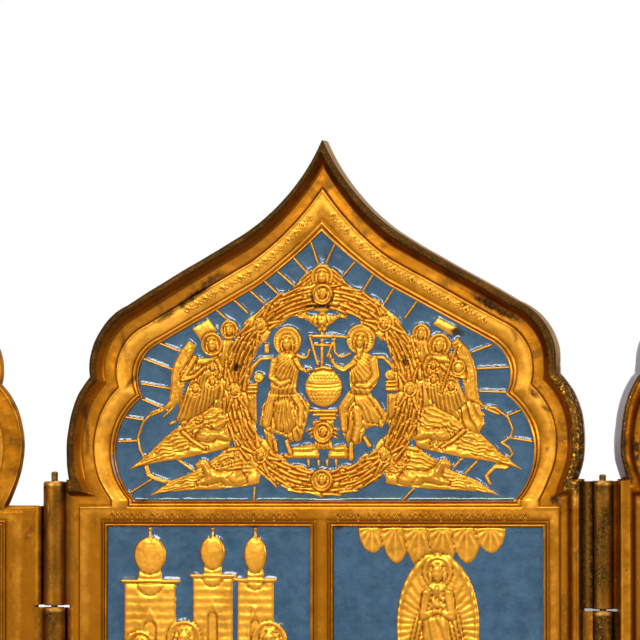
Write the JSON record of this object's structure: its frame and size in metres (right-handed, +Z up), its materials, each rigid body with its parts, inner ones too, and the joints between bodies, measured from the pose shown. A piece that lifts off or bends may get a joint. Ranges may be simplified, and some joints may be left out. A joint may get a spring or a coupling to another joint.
{
  "type": "folding travel icon",
  "caption": "Free-standing folding icon: hinged cast brass leaves with lobed, pointed pediments over scene panels, blue enamel grounds and raised rims that take the outer leaves when shut.",
  "frame": {"origin": "middle of the footprint, on the plane that the icon stands on", "axes": "+X to the viewer's right across the open leaves, -Y towards the viewer, +Z up"},
  "size_m": [0.3808, 0.0358, 0.175],
  "materials": {
    "gilt_brass": "gilded, worn at the rims",
    "pin_wire": "dull, darkened",
    "blue_enamel": "glossy opaque glass enamel"
  },
  "bodies": {
    "leaf_1": {"leaf_1_casting": "gilt_brass", "leaf_1_pediment_enamel": "blue_enamel", "leaf_1_upper_left_enamel": "blue_enamel", "leaf_1_upper_right_enamel": "blue_enamel", "leaf_1_lower_left_enamel": "blue_enamel", "leaf_1_lower_right_enamel": "blue_enamel"},
    "leaf_2": {"leaf_2_casting": "gilt_brass", "leaf_2_pediment_enamel": "blue_enamel", "leaf_2_upper_left_enamel": "blue_enamel", "leaf_2_upper_right_enamel": "blue_enamel", "leaf_2_lower_left_enamel": "blue_enamel", "leaf_2_lower_right_enamel": "blue_enamel", "hinge_pin_1_2": "pin_wire"},
    "leaf_3": {"leaf_3_casting": "gilt_brass", "leaf_3_pediment_enamel": "blue_enamel", "leaf_3_upper_left_enamel": "blue_enamel", "leaf_3_upper_right_enamel": "blue_enamel", "leaf_3_lower_left_enamel": "blue_enamel", "leaf_3_lower_right_enamel": "blue_enamel", "hinge_pin_2_3": "pin_wire"},
    "leaf_4": {"leaf_4_casting": "gilt_brass", "leaf_4_pediment_enamel": "blue_enamel", "leaf_4_upper_left_enamel": "blue_enamel", "leaf_4_upper_right_enamel": "blue_enamel", "leaf_4_lower_left_enamel": "blue_enamel", "leaf_4_lower_right_enamel": "blue_enamel", "hinge_pin_3_4": "pin_wire"}
  },
  "joints": [
    {"name": "hinge_1_2", "type": "hinge", "parent": "leaf_2", "child": "leaf_1", "pos_m": [-0.09786, 0.01586, 0.0572], "axis": [0, 0, 1], "range_deg": [-38, 142]},
    {"name": "hinge_2_3", "type": "hinge", "parent": "leaf_2", "child": "leaf_3", "pos_m": [0, -0.01445, 0.0572], "axis": [0, 0, 1], "range_deg": [-38, 142]},
    {"name": "hinge_3_4", "type": "hinge", "parent": "leaf_3", "child": "leaf_4", "pos_m": [0.09786, 0.01586, 0.0572], "axis": [0, 0, -1], "range_deg": [-38, 142]}
  ]
}
